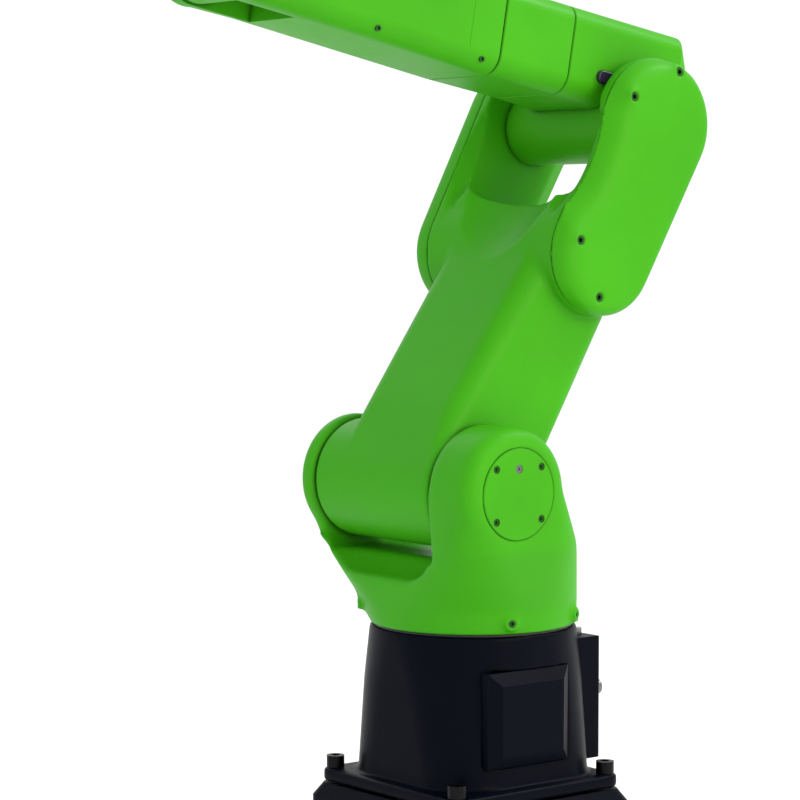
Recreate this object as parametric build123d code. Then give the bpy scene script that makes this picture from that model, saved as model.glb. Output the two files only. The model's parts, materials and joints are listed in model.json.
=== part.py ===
from build123d import *
import math
import os

# A six-axis desktop robot arm on a square force-sensing foot, in millimetres.
# Origin: middle of the underside of the mounting plate. +X is the way the arm faces, +Z is up.
# The turret axis (J1) is vertical through the origin.

# ---------------------------------------------------------------- driving dimensions
PLATE_X = (-150.0, 138.0)       # mounting plate, back to front
PLATE_HALF_Y = 122.0
PLATE_T = 16.0
PLATE_HOLES_X = (-138.0, 126.0)
PLATE_HOLES_Y = 108.0
PLATE_HOLE_R = 5.5

SENSOR_TOP = 92.0               # top of the force-sensing unit, where the arm's own foot stands
SENSOR_X = (-113.0, 121.0)
SENSOR_HALF = 117.0
SENSOR_SHOULDER = 14.0          # height of the sloped shoulder round its top
SENSOR_SLOPE = 9.0

FOOT_T = 14.0
FOOT_X = (-105.0, 113.0)
FOOT_HALF = 109.0
FOOT_BOLT = 96.0                # foot bolts stand this far to each side of the foot's middle
FOOT_MIDDLE = 4.0
BASE_HALF = 98.0
BASE_CORNER = 56.0
BASE_H = 162.5                  # foot underside to the top of the base casting
RING_R = 103.0                  # turret and base meet on this circle

TURRET_Z = SENSOR_TOP + 164.5
SADDLE_Z = SENSOR_TOP + 236.0
COLUMN_Z = SENSOR_TOP + 250.0

J2_X = 55.0
J2_Z = SENSOR_TOP + 305.0
J2_NEAR = 133.4                 # outer faces of the turret's two cheeks
J2_FAR = -133.4
J2_DISC = 64.0                  # radius of the cheeks about J2
GAP_NEAR = 69.6                 # inner faces of the cheeks
GAP_FAR = -112.0
BARREL_R = 60.0

ARM_LENGTH = 415.0              # J2 to J3
ARM_LEAN = 31.0                 # the upper arm leans back this far at rest
J3_X = J2_X - ARM_LENGTH * math.sin(math.radians(ARM_LEAN))
J3_Z = J2_Z + ARM_LENGTH * math.cos(math.radians(ARM_LEAN))

PRONG_R = 62.0                  # rounded ends of the elbow fork and its covers, at the motor
PRONG_TOP_R = 66.0              # and about J3
PRONG_DROP = 148.0              # J3 axis to the J3 motor axis
PRONG_SHIFT = -4.0
PRONG_LENGTH = math.hypot(PRONG_SHIFT, PRONG_DROP)
FORK_NEAR = 76.0                # inner faces of the fork
FORK_FAR = -92.0
SEAM_NEAR = 88.0                # where the covers meet the fork
SEAM_FAR = -104.0
COVER_NEAR = 108.0
COVER_FAR = -128.0
FORK_FLOOR = 302.0              # bottom of the fork's gap, measured along the arm from J2

FOREARM_PITCH = 10.0            # the forearm rises this much at rest
J4_H = 57.0                     # forearm axis above J3
HUB_R = 38.0
ELBOW_BACK = -68.0
ELBOW_HALF = 62.0
ELBOW_TOP = 102.0
J4_SEAM = 95.0
ROOT_END = 184.5
ROOT_HALF_H = 45.0              # half the forearm's height at its root
FRONT_HALF_H = 38.5             # and just behind the wrist
FORE_HALF = 50.0                # forearm casting; the covers stand outside it
FORE_FRONT = 430.0
J5_S = 480.0
TIP_HALF = 57.0
TIP_R = 38.0
SLOT_S = 414.0
SLOT_HALF = 36.0
NOSE_HALF = 32.0
NOSE_END = 548.0
FLANGE_S = 565.0

RUN = 0.08                      # radial running clearance of a shaft in its bore
SEAM_BREAK = 1.2                # edges beside the forearm's seams are broken this much
GAP = 0.6                       # clearance between faces that turn past each other
M4 = (3.6, 4.0, 2.0, 8.0)       # screw head radius, head height, shank radius, shank length
M12 = (9.0, 12.0, 6.0, FOOT_T)

NEAR_SIDE = Rot(-90, 0, 0)      # turns +Z to +Y
FAR_SIDE = Rot(90, 0, 0)        # turns +Z to -Y
BACKWARD = Rot(0, -90, 0)       # turns +Z to -X
FORWARD = Rot(0, 90, 0)         # turns +Z to +X
DOWN = Rot(0, math.degrees(math.atan2(PRONG_DROP, PRONG_SHIFT)), 0)     # turns +X down the fork


# ---------------------------------------------------------------- shared shapes
def cyl_z(r, z0, z1, x=0.0, y=0.0):
    return Pos(x, y, (z0 + z1) / 2) * Cylinder(r, z1 - z0)


def cyl_y(r, y0, y1, x=0.0, z=0.0):
    return Pos(x, (y0 + y1) / 2, z) * Rot(90, 0, 0) * Cylinder(r, y1 - y0)


def cyl_x(r, x0, x1, y=0.0, z=0.0):
    return Pos((x0 + x1) / 2, y, z) * Rot(0, 90, 0) * Cylinder(r, x1 - x0)


def block(x0, x1, y0, y1, z0, z1):
    return Pos((x0 + x1) / 2, (y0 + y1) / 2, (z0 + z1) / 2) * Box(x1 - x0, y1 - y0, z1 - z0)


def soft_block(x0, x1, y0, y1, z0, z1, r):
    body = block(x0, x1, y0, y1, z0, z1)
    return fillet(body.edges(), r)


def round_edge(body, axis, last, r):
    """Round one circular rim of a plain cylinder."""
    rims = body.edges().filter_by(GeomType.CIRCLE).sort_by(axis)
    return fillet(rims[-1 if last else 0], r)


def section(z, x0, x1, y0, y1, radii):
    """A level rectangle at height z; radii go round from the (x0, y0) corner by way of (x1, y0)."""
    face = Pos((x0 + x1) / 2, (y0 + y1) / 2, z) * Rectangle(x1 - x0, y1 - y0)
    corners = ((x0, y0), (x1, y0), (x1, y1), (x0, y1))
    for (x, y), r in zip(corners, radii):
        corner = face.vertices().sort_by_distance((x, y, z))[0]
        face = fillet(corner, r)
    return face


def skin(*sections):
    return loft(list(sections), ruled=True)


def obround(r, y0, y1):
    """A plate with round ends from the J3 axis down to the J3 motor axis, in the frame of J3 on the arm."""
    return DOWN * belt_loop(r + PRONG_TOP_R - PRONG_R, r, PRONG_LENGTH, y0, y1)


def screw(size):
    """A socket-head screw pointing down, the top of its head at the origin."""
    head_r, head_h, shank_r, shank_l = size
    body = cyl_z(head_r, -head_h, 0) + cyl_z(shank_r, -head_h - shank_l, -head_h)
    socket = Pos(0, 0, -head_h * 0.55) * extrude(RegularPolygon(head_r * 0.58, 6), head_h)
    return body - socket


def screw_hole(size, above=12.0):
    """The room a screw needs, with a counterbore above its head."""
    head_r, head_h, shank_r, shank_l = size
    well = cyl_z(head_r + 0.7, 0, above) + cyl_z(head_r, -head_h, 0)
    return well + cyl_z(shank_r, -head_h - shank_l, -head_h)


def each(places, shape):
    return [place * shape for place in places]


def drill(body, places, size, above=12.0):
    for hole in each(places, screw_hole(size, above)):
        body = body - hole
    return body


def pulley(r, y0, y1, teeth):
    """A toothed belt pulley on a Y axis, with a flange on each side."""
    wheel = cyl_y(r, y0, y1)
    for n in range(teeth):
        turn = Rot(0, 360.0 * n / teeth, 0)
        wheel = wheel - turn * cyl_y(0.7, y0 + 1.2, y1 - 1.2, r)
    return wheel + cyl_y(r + 1.2, y0, y0 + 1.0) + cyl_y(r + 1.2, y1 - 1.0, y1)


def belt(r1, r2, length, y0, y1, t=1.4):
    """A flat loop round two pulleys: r1 at the origin, r2 at (length, 0)."""
    return belt_loop(r1 + 0.35 + t, r2 + 0.35 + t, length, y0, y1) - belt_loop(
        r1 + 0.35, r2 + 0.35, length, y0 - 1, y1 + 1
    )


def belt_loop(r1, r2, length, y0, y1):
    lean = math.asin((r1 - r2) / length)
    points = []
    for side in (1, -1):
        points.append((r1 * math.sin(lean), side * r1 * math.cos(lean)))
        points.append((length + r2 * math.sin(lean), side * r2 * math.cos(lean)))
    web = extrude(Polygon(points[2], points[3], points[1], points[0], align=None), y1 - y0)
    web = Pos(0, y1, 0) * Rot(90, 0, 0) * web
    return web + cyl_y(r1, y0, y1) + cyl_y(r2, y0, y1, length)


def motor(r, length, flange):
    """A servo motor along +Z: square flange at z = 0, ribbed can, round encoder cap at the far end."""
    can = soft_block(-r, r, -r, r, -length * 0.72, 0, r * 0.16)
    plate = block(-flange, flange, -flange, flange, -6, 0)
    cap = cyl_z(r * 0.86, -length, -length * 0.72)
    body = can + plate + cap
    for x in (-1, 1):
        for y in (-1, 1):
            body = body - cyl_z(2.2, -7, 1, x * (flange - 5), y * (flange - 5))
    return body


# ---------------------------------------------------------------- foot and base (fixed)
FOOT_PLACES = [
    Pos(FOOT_MIDDLE + x * FOOT_BOLT, y * FOOT_BOLT, SENSOR_TOP + FOOT_T + 12.0)
    for x in (-1, 1)
    for y in (-1, 1)
]
BOX_X = (-117.0, -70.0)         # connector box on the back of the base
BOX_HALF_Y = 62.0
BOX_Z = (SENSOR_TOP + 22.0, SENSOR_TOP + 146.0)
BOX_WALL = 7.0
BOX_DEEP = 9.0                  # the connectors' holes reach this far in
PANEL_X = (-38.0, 64.0)         # raised cover on the base's near side
PANEL_Y = (90.0, 108.0)
PANEL_Z = (SENSOR_TOP + 36.0, SENSOR_TOP + 129.0)
PANEL_BEVEL = (12.0, 8.0)       # width and depth of the bevel round its raised face
BASE_BORE = 80.0
BASE_WAIST = 100.5               # half the base casting's width, this high above its foot
BASE_WAIST_H = 110.0
CELL_R = 90.0
CELL_CORE_R = 48.0
CELL_SKIN = 12.0
CELL_SLOT_R = 9.0
CELL_SLOTS = 8
REDUCER_Z = SENSOR_TOP + 100.0
J1_BORE = 58.0
PANEL_PLACES = [
    Pos(x, PANEL_Y[1] - 1.5, z) * NEAR_SIDE
    for x in (PANEL_X[0] + 19, PANEL_X[1] - 19)
    for z in (PANEL_Z[0] + 19, PANEL_Z[1] - 19)
]
PANEL_SCREW = (2.9, 3.0, 1.5, PANEL_Y[1] - 1.5 - 3.0 - PANEL_Y[0])
POWER_Z = SENSOR_TOP + 57.0
POWER_HALF = (34.0, 17.0)       # half the power connector's width and height
PIN_COLUMNS = 9
PIN_PITCH = 5.5
PIN_RISE = 5.0
PIN_R = 1.4
SIGNAL_Z = SENSOR_TOP + 107.0
SIGNAL_Y = 22.0
SIGNAL_R = 11.0
AIR_Y = 46.0
AIR_Z = POWER_Z + 34.0
AIR_STEM_R = 6.0
AIR_COLLAR_R = 8.0
AIR_BORE_R = 4.2
AIR_BORE_DEEP = 8.0
AIR_PROUD = 10.0
GROUND_X = -106.0
GROUND_Y = 36.0


def mounting_plate():
    plate = block(*PLATE_X, -PLATE_HALF_Y, PLATE_HALF_Y, 0, PLATE_T)
    plate = fillet(plate.edges().filter_by(Axis.Z), 12)
    plate = chamfer(plate.faces().sort_by(Axis.Z)[-1].edges(), 1.5)
    for x in PLATE_HOLES_X:
        for y in (-PLATE_HOLES_Y, PLATE_HOLES_Y):
            plate = plate - cyl_z(PLATE_HOLE_R, -1, PLATE_T + 1, x, y)
    return plate


def sensor_housing():
    top = SENSOR_TOP - SENSOR_SHOULDER
    low = section(PLATE_T, *SENSOR_X, -SENSOR_HALF, SENSOR_HALF, (16,) * 4)
    waist = section(top, *SENSOR_X, -SENSOR_HALF, SENSOR_HALF, (16,) * 4)
    inner = SENSOR_HALF - SENSOR_SLOPE
    near_x, far_x = SENSOR_X[0] + SENSOR_SLOPE, SENSOR_X[1] - SENSOR_SLOPE
    high = section(SENSOR_TOP - 1, near_x, far_x, -inner, inner, (12,) * 4)
    shell = skin(low, waist) + skin(waist, high)
    shell = shell - cyl_z(92, PLATE_T - 1, SENSOR_TOP)
    return shell


def load_cell():
    low, high = PLATE_T + CELL_SKIN, SENSOR_TOP - CELL_SKIN
    cell = cyl_z(CELL_R, PLATE_T, low) + cyl_z(CELL_CORE_R, PLATE_T, high)
    cell = cell + cyl_z(CELL_R, high, SENSOR_TOP)
    for n in range(CELL_SLOTS):
        turn = Rot(0, 0, 360.0 / CELL_SLOTS * (n + 0.5))
        cell = cell - turn * cyl_z(CELL_SLOT_R, low, high, CELL_CORE_R + 4)
    return cell


def base_casting():
    z0 = SENSOR_TOP
    foot = section(z0, *FOOT_X, -FOOT_HALF, FOOT_HALF, (16,) * 4)
    foot = extrude(foot, FOOT_T)
    foot = chamfer(foot.faces().sort_by(Axis.Z)[-1].edges(), 2)
    low = section(z0 + FOOT_T, -BASE_HALF, BASE_HALF, -BASE_HALF, BASE_HALF, (BASE_CORNER,) * 4)
    mid = section(z0 + BASE_WAIST_H, -BASE_WAIST, BASE_WAIST, -BASE_WAIST, BASE_WAIST, (80,) * 4)
    top = section(z0 + BASE_H, -RING_R, RING_R, -RING_R, RING_R, (RING_R - 0.5,) * 4)
    body = foot + skin(low, mid) + skin(mid, top)
    body = body - cyl_z(BASE_BORE, z0 + 8, z0 + BASE_H + 1)
    body = body - block(BOX_X[0], BOX_X[1], -BOX_HALF_Y, BOX_HALF_Y, *BOX_Z)
    body = body - block(*PANEL_X, PANEL_Y[0], PANEL_Y[1], *PANEL_Z)
    return drill(body, FOOT_PLACES, M12, 3)


def side_panel():
    plate = block(*PANEL_X, *PANEL_Y, *PANEL_Z)
    face = plate.faces().sort_by(Axis.Y)[-1]
    plate = chamfer(face.edges(), *PANEL_BEVEL, reference=face)
    return drill(plate, PANEL_PLACES, PANEL_SCREW, 1)


def connector_box():
    box = block(BOX_X[0], BOX_X[1], -BOX_HALF_Y, BOX_HALF_Y, *BOX_Z)
    box = fillet(box.faces().sort_by(Axis.X)[0].edges(), 4)
    inside = BOX_HALF_Y - BOX_WALL
    box = box - block(BOX_X[0] + 8, BOX_X[1] - 6, -inside, inside, BOX_Z[0] + BOX_WALL, BOX_Z[1] - BOX_WALL)
    half_y, half_z = POWER_HALF
    outside, deep = BOX_X[0] - 1, BOX_X[0] + BOX_DEEP
    box = box - block(outside, deep, -half_y, half_y, POWER_Z - half_z, POWER_Z + half_z)
    for side in (-1, 1):
        box = box - cyl_x(SIGNAL_R, outside, deep, side * SIGNAL_Y, SIGNAL_Z)
        box = box - cyl_x(AIR_STEM_R, outside, deep, side * AIR_Y, AIR_Z)
    box = box - cyl_z(BASE_BORE, BOX_Z[0] - 1, BOX_Z[1] + 1)
    return box - cyl_z(4, BOX_Z[1] - 7, BOX_Z[1] + 1, GROUND_X, GROUND_Y)


def power_connector():
    x = BOX_X[0]
    half_y, half_z = POWER_HALF
    body = block(x - 6, x + 14, -half_y, half_y, POWER_Z - half_z, POWER_Z + half_z)
    body = body - block(x - 7, x + 4, -half_y + 7, half_y - 7, POWER_Z - half_z + 6, POWER_Z + half_z - 6)
    for n in range(PIN_COLUMNS):
        for z in (-PIN_RISE, PIN_RISE):
            body = body + cyl_x(PIN_R, x + 2, x + 5, PIN_PITCH * (n - (PIN_COLUMNS - 1) / 2), POWER_Z + z)
    return body


def signal_connectors():
    x = BOX_X[0]
    sockets = []
    for y in (-SIGNAL_Y, SIGNAL_Y):
        body = cyl_x(SIGNAL_R, x, x + 14, y, SIGNAL_Z) + cyl_x(SIGNAL_R + 3, x - 3, x, y, SIGNAL_Z)
        body = body + cyl_x(10, x - 12, x - 3, y, SIGNAL_Z) - cyl_x(8, x - 13, x - 2, y, SIGNAL_Z)
        for n in range(6):
            a = math.radians(60 * n)
            pin = cyl_x(0.9, x - 9, x - 1, y + 4.5 * math.cos(a), SIGNAL_Z + 4.5 * math.sin(a))
            body = body + pin
        sockets.append(body)
    return sockets


def air_ports():
    x = BOX_X[0]
    ports = []
    for y in (-AIR_Y, AIR_Y):
        port = cyl_x(AIR_STEM_R, x, x + 12, y, AIR_Z) + cyl_x(AIR_COLLAR_R, x - AIR_PROUD, x, y, AIR_Z)
        ports.append(port - cyl_x(AIR_BORE_R, x - AIR_PROUD - 1, x + AIR_BORE_DEEP, y, AIR_Z))
    return ports


def ground_bolt():
    head = Pos(GROUND_X, GROUND_Y, BOX_Z[1]) * extrude(RegularPolygon(6.5, 6), 6)
    return head + cyl_z(4, BOX_Z[1] - 7, BOX_Z[1], GROUND_X, GROUND_Y)


def j1_motor():
    return Pos(0, 0, REDUCER_Z) * motor(40, REDUCER_Z - SENSOR_TOP - 8, 45)


def j1_reducer():
    z1 = SENSOR_TOP + 152
    body = cyl_z(BASE_BORE, REDUCER_Z, z1) - cyl_z(J1_BORE, REDUCER_Z + 12, z1 + 1)
    for n in range(12):
        turn = Rot(0, 0, 30.0 * n)
        body = body - turn * cyl_z(3, z1 - 8, z1 + 1, 70)
    return body


def j1_seal():
    z = SENSOR_TOP + BASE_H
    return cyl_z(99, z, z + 1.4) - cyl_z(90, z - 1, z + 3)


# ---------------------------------------------------------------- turret (J1)
J2_CAVITY = 40.0
J2_SHAFT = 28.0
COVER_R = 44.0
COVER_T = 4.6
RIM_BREAK = 1.0
COVER_Y = J2_NEAR + 0.4
COVER_SCREWS = [(x, z) for x in (-28.0, 28.0) for z in (-25.0, 25.0)]
PLUG_RISE = 24.0                # grease plug above J2
PIVOT_R = 25.0
PIVOT_BEARING_R = 34.0
PLUG_R = 4.2
PLUG_HEX_R = 1.6
SCOOP_R = 46.0
POCKET_X = 112.0                # the pocket under the barrel, cut into the saddle's front
POCKET_Y = (-66.0, 24.0)
POCKET_Z = SENSOR_TOP + 262.0
MOTOR_Y = 88.0                  # inner face of the J2 gear unit
J1_HOLLOW_R = 52.0
LUG_R = 8.0
LUG_Z = SENSOR_TOP + 176.0
LUGS = [(70.5, 110.0, LUG_Z), (121.0, 110.0, LUG_Z), (-37.0, 116.0, LUG_Z + 8), (-120.0, 110.0, LUG_Z)]
LUG_SINK = 1.5                  # the screw heads stand this far below the lugs' ends


def column(y0, y1, x_back, x_front, low_radii, high_radii):
    """One side of the saddle, from its shoulder up to the J2 axis."""
    low = section(COLUMN_Z, x_back, x_front, y0, y1, low_radii)
    high = section(J2_Z, J2_X - J2_DISC, J2_X + J2_DISC, y0, y1, high_radii)
    return skin(low, high)


LUG_PLACES = [Rot(0, 0, angle) * Pos(reach, 0, z) * FORWARD for angle, reach, z in LUGS]
LUG_HOLES = [place * Pos(0, 0, -LUG_SINK) for place in LUG_PLACES]
J2_COVER_PLACES = [Pos(J2_X + x, COVER_Y - 1.2, J2_Z + z) * NEAR_SIDE for x, z in COVER_SCREWS]
J2_COVER_SCREW = (3.2, 2.0, 1.6, COVER_T - 1.2 - 2.0)
CAP_PLACES = [Pos(J2_X + x, -COVER_Y + 1.2, J2_Z + z) * FAR_SIDE for x, z in COVER_SCREWS]


def turret_casting():
    ring = section(TURRET_Z, -RING_R, RING_R, -RING_R, RING_R, (RING_R - 0.5,) * 4)
    belly = section(SENSOR_TOP + 186, -99, 106, -108, 105, (96, 96, 96, 96))
    shoulder = section(COLUMN_Z, -53, 114, J2_FAR, J2_NEAR, (50, 40, 40, 60))
    body = skin(ring, belly) + skin(belly, shoulder)
    near = round_edge(cyl_y(J2_DISC, GAP_NEAR, J2_NEAR, J2_X, J2_Z), Axis.Y, True, 15)
    near = round_edge(near, Axis.Y, False, 9)
    far = round_edge(cyl_y(J2_DISC, J2_FAR, GAP_FAR, J2_X, J2_Z), Axis.Y, False, 8)
    body = body + column(GAP_NEAR, J2_NEAR, -53, 114, (2, 2, 40, 60), (2, 2, 14, 14)) + near
    body = body + column(J2_FAR, GAP_FAR, -40, 100, (16, 16, 2, 2), (8, 8, 2, 2)) + far
    body = body - block(-140, 140, GAP_FAR, GAP_NEAR, SADDLE_Z, J2_Z + 90)
    body = body - cyl_y(70, GAP_FAR, GAP_NEAR, J2_X, J2_Z)
    scoop = cyl_y(SCOOP_R, *POCKET_Y, POCKET_X, POCKET_Z)
    for y in POCKET_Y:
        scoop = scoop + Pos(POCKET_X, y, POCKET_Z) * Sphere(SCOOP_R)
    body = body - scoop
    for place in LUG_PLACES:
        body = body + place * cyl_z(LUG_R, -50, 0)
    body = body - cyl_y(J2_CAVITY, GAP_NEAR - 1, COVER_Y - COVER_T, J2_X, J2_Z)
    body = body - cyl_y(COVER_R, COVER_Y - COVER_T, J2_NEAR + 1, J2_X, J2_Z)
    body = body - cyl_y(PIVOT_BEARING_R, -COVER_Y + COVER_T, GAP_FAR + 1, J2_X, J2_Z)
    body = body - cyl_y(COVER_R, J2_FAR - 1, -COVER_Y + COVER_T, J2_X, J2_Z)
    body = body - cyl_z(J1_HOLLOW_R, TURRET_Z + 12, SENSOR_TOP + 222)
    return drill(body, LUG_HOLES, M4, 3)


def j1_output():
    z = REDUCER_Z + 12 + GAP
    return cyl_z(J1_BORE - RUN, z, TURRET_Z) - cyl_z(22, z - 1, TURRET_Z + 1)


def j2_end_cover():
    disc = cyl_y(COVER_R, COVER_Y - COVER_T, COVER_Y, J2_X, J2_Z)
    disc = chamfer(disc.edges().filter_by(GeomType.CIRCLE).sort_by(Axis.Y)[-1], RIM_BREAK)
    disc = disc - cyl_y(PLUG_R, COVER_Y - 3, COVER_Y + 1, J2_X, J2_Z + PLUG_RISE)
    return drill(disc, J2_COVER_PLACES, J2_COVER_SCREW, 2)


def j2_grease_plug():
    plug = cyl_y(PLUG_R, COVER_Y - 3, COVER_Y - 0.6, J2_X, J2_Z + PLUG_RISE)
    return plug - cyl_y(PLUG_HEX_R, COVER_Y - 1.8, COVER_Y, J2_X, J2_Z + PLUG_RISE)


def far_pivot_cap():
    disc = cyl_y(COVER_R, -COVER_Y, -COVER_Y + COVER_T, J2_X, J2_Z)
    disc = chamfer(disc.edges().filter_by(GeomType.CIRCLE).sort_by(Axis.Y)[0], RIM_BREAK)
    return drill(disc, CAP_PLACES, J2_COVER_SCREW, 2)


def j2_reducer():
    body = cyl_y(J2_CAVITY, GAP_NEAR, MOTOR_Y, J2_X, J2_Z)
    return body - cyl_y(J2_SHAFT, GAP_NEAR - 1, 84, J2_X, J2_Z)


def j2_motor():
    return Pos(J2_X, MOTOR_Y, J2_Z) * FAR_SIDE * motor(27, 40.8, 28)


def j2_pivot_bearing():
    outer = cyl_y(PIVOT_BEARING_R, -125, GAP_FAR, J2_X, J2_Z)
    return outer - cyl_y(PIVOT_R + RUN, -126, GAP_FAR + 1, J2_X, J2_Z)


# ---------------------------------------------------------------- upper arm (J2), upright, J2 at the origin
ARM = Pos(J2_X, 0, J2_Z) * Rot(0, -ARM_LEAN, 0)
ELBOW = ARM * Pos(0, 0, ARM_LENGTH)
MOTOR_X = PRONG_SHIFT
MOTOR_Z = ARM_LENGTH - PRONG_DROP
J3_BORE = 22.0
J3_CASE = 34.0
COVER_WALL = 4.5
HOLLOW_FRONT = 35.0             # the covers are solid in front of this, beside the fork's waist
BELT_SCREWS = [(0, 1.0, 48.0), (0, 81.0, 56.0), (1, -12.0, 41.0), (1, -103.0, 45.0)]
FORK_SCOOP_R = 110.0
FORK_SCOOP_LENGTH = 184.0
FORK_FAR_CORNER = 40.0
FORK_NEAR_CORNER = 14.0
SCOOP_LEAN = 15.0
SCOOP_X = 141.0
SCOOP_Z = 320.0
WAIST_X = 190.0                 # centre of the sweep in the prongs' front edges
WAIST_Z = 333.0
J3_CAN_R = 20.0
J3_FLANGE_R = 21.5
J3_MOTOR_Y = (18.0, 30.0, 82.0)     # its encoder's end, its can's end and its flange
STUB_R = 14.0                   # bore for the far pivots' pins
ARM_BORE_R = 46.0
ARM_BORE_Y = (-98.0, 56.0)
COVER_ROUND = 11.0
COVER_RIM = 9.0                 # width of the belt covers' rims
BOSS_R = 7.0


def cover_place(end, angle, reach, y, side):
    """A screw's place on a belt cover, round the J3 axis at end 0 or the J3 motor's axis at end 1."""
    a = math.radians(angle)
    x = reach * math.cos(a) + PRONG_SHIFT * end
    z = reach * math.sin(a) - PRONG_DROP * end
    return Pos(x, y, z) * side


BELT_PLACES = [cover_place(*at, COVER_NEAR - 2, NEAR_SIDE) for at in BELT_SCREWS]
FAR_PLACES = [cover_place(*at, COVER_FAR + 2, FAR_SIDE) for at in BELT_SCREWS]


def fork_scoop():
    """The hollow in the arm's front face that runs up into the fork."""
    along = Pos(SCOOP_X, -2, SCOOP_Z) * Rot(0, -SCOOP_LEAN, 0)
    half = FORK_SCOOP_LENGTH / 2
    return along * (Cylinder(FORK_SCOOP_R, 2 * half) + Pos(0, 0, -half) * Sphere(FORK_SCOOP_R))


def cone_y(r0, r1, y0, y1):
    """A cone on a Y axis through the middle of the fork's waist, r0 across at y0 and r1 at y1."""
    return Pos(WAIST_X, (y0 + y1) / 2, WAIST_Z) * NEAR_SIDE * Cone(r0, r1, y1 - y0)


def near_waist():
    """Sweeps back the front edge of the near prong and its cover."""
    inner = cone_y(128, 145, 30, FORK_NEAR) + cone_y(145, 139, FORK_NEAR, SEAM_NEAR)
    return inner + cone_y(139, 157, SEAM_NEAR, COVER_NEAR)


def far_waist():
    return cone_y(128, 143, SEAM_FAR, FORK_FAR) + cone_y(143, 128, FORK_FAR, -50)


def fork_back_bevel():
    """Slopes back the rear inner edges of the two prongs."""
    points = [(-46, FORK_FAR), (-46, FORK_NEAR), (-66, FORK_NEAR + 11), (-66, FORK_FAR - 11)]
    return Pos(0, 0, FORK_FLOOR - 8) * extrude(Polygon(*points, align=None), 190)


def upper_arm_casting():
    barrel = cyl_y(BARREL_R, GAP_FAR + GAP, GAP_NEAR - GAP)
    barrel = round_edge(round_edge(barrel, Axis.Y, True, 6), Axis.Y, False, 4)
    root = section(0, -BARREL_R, BARREL_R, -84, 67, (14, 14, 10, 10))
    low = section(60, -66, 61, -84, 68, (20, 24, 20, 14))
    high = section(230, -62, 52, -82, 78, (24, 28, 26, 22))
    fork = section(300, -62, 58, SEAM_FAR, SEAM_NEAR, (18, 22, 22, 18))
    top = section(350, -60, 60, SEAM_FAR, SEAM_NEAR, (10, 14, 14, 10))
    body = barrel + skin(root, low) + skin(low, high) + skin(high, fork) + skin(fork, top)
    prongs = obround(PRONG_R, FORK_NEAR, SEAM_NEAR) + obround(PRONG_R, SEAM_FAR, FORK_FAR)
    body = body + Pos(0, 0, ARM_LENGTH) * prongs
    body = body + cyl_y(PRONG_R, 40, SEAM_NEAR, MOTOR_X, MOTOR_Z)
    body = body + cyl_y(PRONG_R, SEAM_FAR, -40, MOTOR_X, MOTOR_Z)
    middle = (FORK_NEAR + FORK_FAR) / 2
    gap = Pos(middle, FORK_FLOOR + 150) * Rectangle(FORK_NEAR - FORK_FAR, 300)
    gap = fillet(gap.vertices().group_by(Axis.Y)[0].sort_by(Axis.X)[0], FORK_FAR_CORNER)
    gap = fillet(gap.vertices().group_by(Axis.Y)[0].sort_by(Axis.X)[-1], FORK_NEAR_CORNER)
    body = body - Pos(-150, 0, 0) * extrude(Plane.YZ * gap, 300)
    body = body - fork_back_bevel() - near_waist() - far_waist() - fork_scoop()
    body = body - cyl_y(ARM_BORE_R, *ARM_BORE_Y) - cyl_y(ARM_BORE_R - 1, ARM_BORE_Y[1], GAP_NEAR)
    hollow_low = section(40, -48, 44, -66, 50, (12,) * 4)
    hollow_high = section(226, -44, 34, -62, 60, (12,) * 4)
    body = body - skin(hollow_low, hollow_high)
    body = body - cyl_y(J3_FLANGE_R, J3_MOTOR_Y[0], SEAM_NEAR + 1, MOTOR_X, MOTOR_Z)
    body = body - cyl_y(J3_CASE, FORK_NEAR - 1, SEAM_NEAR + 1, 0, ARM_LENGTH)
    body = body - cyl_y(PIVOT_R, SEAM_FAR - 1, FORK_FAR + 1, 0, ARM_LENGTH)
    trunnion = cyl_y(PIVOT_R, -124.4, ARM_BORE_Y[0]) - cyl_y(STUB_R, -126, -90)
    return ARM * (body - cyl_y(STUB_R, GAP_FAR - 1, ARM_BORE_Y[0] + 1) + trunnion)


def j2_output():
    disc = cyl_y(45, 58, GAP_NEAR - GAP) + cyl_y(J2_SHAFT - RUN, 58, 83)
    return ARM * (disc - cyl_y(10, 57, 84))


def j3_motor():
    back, can_end, flange = J3_MOTOR_Y
    plate = cyl_y(J3_FLANGE_R, flange, SEAM_NEAR)
    can = cyl_y(J3_CAN_R, can_end, flange) + cyl_y(J3_CAN_R - 3, back, can_end)
    return ELBOW * Pos(PRONG_SHIFT, 0, -PRONG_DROP) * (plate + can)


def j3_reducer():
    body = cyl_y(J3_CASE, FORK_NEAR, SEAM_NEAR + 1.5) - cyl_y(J3_BORE, FORK_NEAR - 1, 86)
    return ELBOW * body


J3_PULLEY_R = 24.0
J3_DRIVE_R = 15.0
BELT_Y = (91.0, 101.0)


def j3_motor_pulley():
    wheel = pulley(J3_DRIVE_R, BELT_Y[0], BELT_Y[1], 20)
    return ELBOW * Pos(PRONG_SHIFT, 0, -PRONG_DROP) * wheel


def j3_reducer_pulley():
    return ELBOW * pulley(J3_PULLEY_R, BELT_Y[0], BELT_Y[1], 32)


def j3_belt():
    loop = belt(J3_PULLEY_R, J3_DRIVE_R, PRONG_LENGTH, BELT_Y[0] + 1.5, BELT_Y[1] - 1.5)
    return ELBOW * DOWN * loop


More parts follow.
